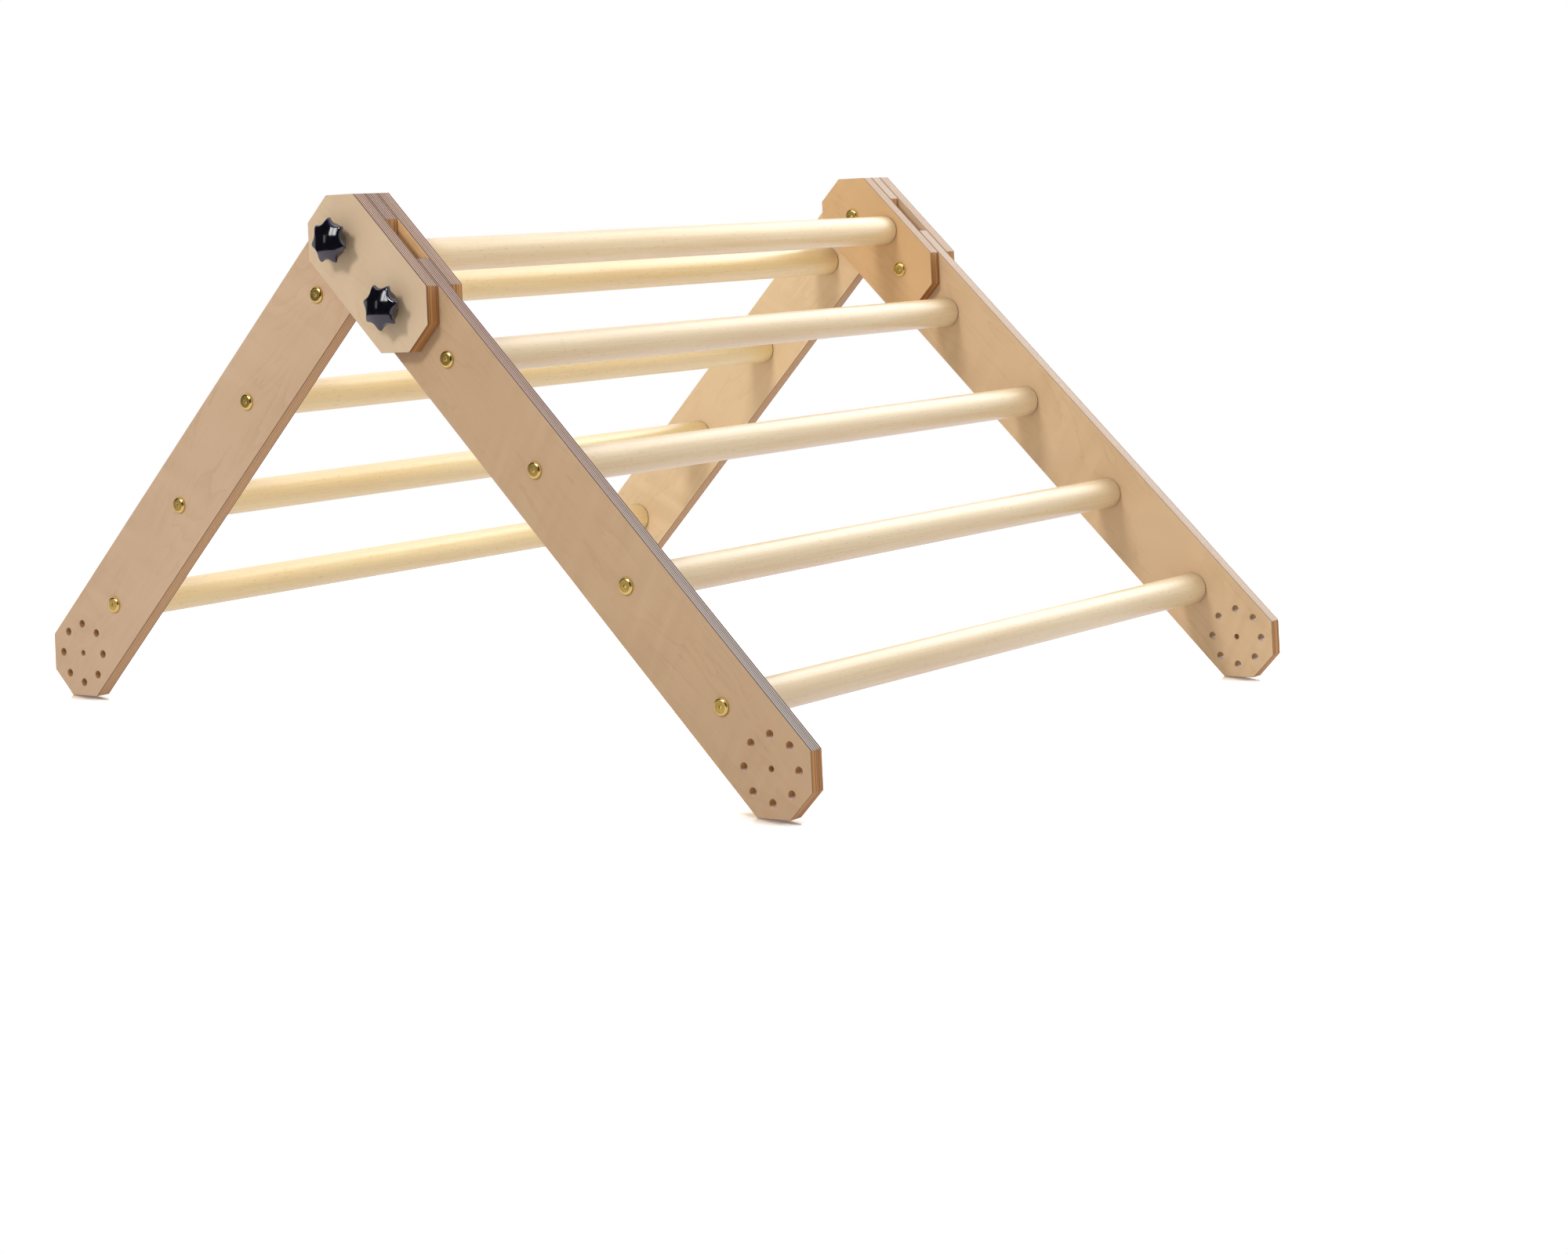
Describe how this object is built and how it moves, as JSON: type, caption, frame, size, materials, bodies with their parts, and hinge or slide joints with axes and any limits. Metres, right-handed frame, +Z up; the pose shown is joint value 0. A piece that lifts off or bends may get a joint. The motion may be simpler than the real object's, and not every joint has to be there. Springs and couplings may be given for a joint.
{
  "type": "folding climbing triangle",
  "caption": "Folding indoor climbing frame of plywood legs and round wooden rungs, with two ladders hinged on a clamped connector bar.",
  "frame": {"origin": "on the floor, under the middle of the bounding box", "axes": "+X along the footprint towards the front ladder's feet, +Y along the rungs towards the right side, +Z up"},
  "size_m": [1.0772, 1.0168, 0.5828],
  "materials": {
    "leg_plywood": "satin lacquered birch plywood with open edges",
    "plate_plywood": "satin lacquered birch plywood with open edges",
    "rung_wood": "satin lacquered hardwood dowel",
    "brass": "polished",
    "plated_steel": "zinc plated",
    "black_plastic": "glossy moulded"
  },
  "bodies": {
    "connector": {"top_rung": "rung_wood", "top_rung_screws": "plated_steel", "top_rung_inserts": "plated_steel", "inner_plate_left": "plate_plywood", "inner_plate_right": "plate_plywood", "front_pivot_bolt_left": "brass", "front_pivot_bolt_right": "brass", "rear_pivot_bolt_left": "brass", "rear_pivot_bolt_right": "brass"},
    "front_ladder": {"front_leg_left": "leg_plywood", "front_leg_right": "leg_plywood", "front_rung_1": "rung_wood", "front_rung_2": "rung_wood", "front_rung_3": "rung_wood", "front_rung_4": "rung_wood", "front_rung_bolts_left": "brass", "front_rung_bolts_right": "brass", "front_rung_inserts_left": "plated_steel", "front_rung_inserts_right": "plated_steel"},
    "rear_ladder": {"rear_leg_left": "leg_plywood", "rear_leg_right": "leg_plywood", "rear_rung_1": "rung_wood", "rear_rung_2": "rung_wood", "rear_rung_3": "rung_wood", "rear_rung_4": "rung_wood", "rear_rung_bolts_left": "brass", "rear_rung_bolts_right": "brass", "rear_rung_inserts_left": "plated_steel", "rear_rung_inserts_right": "plated_steel"},
    "outer_clamp_left": {"outer_plate_left": "plate_plywood"},
    "front_knob_left": {"front_knob_left": "black_plastic", "front_knob_bush_left": "brass"},
    "rear_knob_left": {"rear_knob_left": "black_plastic", "rear_knob_bush_left": "brass"},
    "outer_clamp_right": {"outer_plate_right": "plate_plywood"},
    "front_knob_right": {"front_knob_right": "black_plastic", "front_knob_bush_right": "brass"},
    "rear_knob_right": {"rear_knob_right": "black_plastic", "rear_knob_bush_right": "brass"}
  },
  "joints": [
    {"name": "front_fold", "type": "hinge", "parent": "connector", "child": "front_ladder", "pos_m": [0.00514, 0, 0.46789], "axis": [0, 1, 0], "range_deg": [-90, 90]},
    {"name": "rear_fold", "type": "hinge", "parent": "connector", "child": "rear_ladder", "pos_m": [-0.07071, 0, 0.53346], "axis": [0, 1, 0], "range_deg": [0, 180]},
    {"name": "clamp_left", "type": "slide", "parent": "connector", "child": "outer_clamp_left", "axis": [0, -1, 0], "range_m": [0, 0.003]},
    {"name": "front_knob_turn_left", "type": "hinge", "parent": "outer_clamp_left", "child": "front_knob_left", "pos_m": [0.00514, -0.484, 0.46789], "axis": [0, -1, 0], "range_deg": [0, 1080]},
    {"name": "rear_knob_turn_left", "type": "hinge", "parent": "outer_clamp_left", "child": "rear_knob_left", "pos_m": [-0.07071, -0.484, 0.53346], "axis": [0, -1, 0], "range_deg": [0, 1080]},
    {"name": "clamp_right", "type": "slide", "parent": "connector", "child": "outer_clamp_right", "axis": [0, 1, 0], "range_m": [0, 0.003]},
    {"name": "front_knob_turn_right", "type": "hinge", "parent": "outer_clamp_right", "child": "front_knob_right", "pos_m": [0.00514, 0.484, 0.46789], "axis": [0, 1, 0], "range_deg": [0, 1080]},
    {"name": "rear_knob_turn_right", "type": "hinge", "parent": "outer_clamp_right", "child": "rear_knob_right", "pos_m": [-0.07071, 0.484, 0.53346], "axis": [0, 1, 0], "range_deg": [0, 1080]}
  ],
  "couplings": [
    {"joint": "front_knob_turn_left", "follows": "clamp_left", "rad_per_m": 6283.2},
    {"joint": "rear_knob_turn_left", "follows": "clamp_left", "rad_per_m": 6283.2},
    {"joint": "front_knob_turn_right", "follows": "clamp_right", "rad_per_m": 6283.2},
    {"joint": "rear_knob_turn_right", "follows": "clamp_right", "rad_per_m": 6283.2}
  ]
}
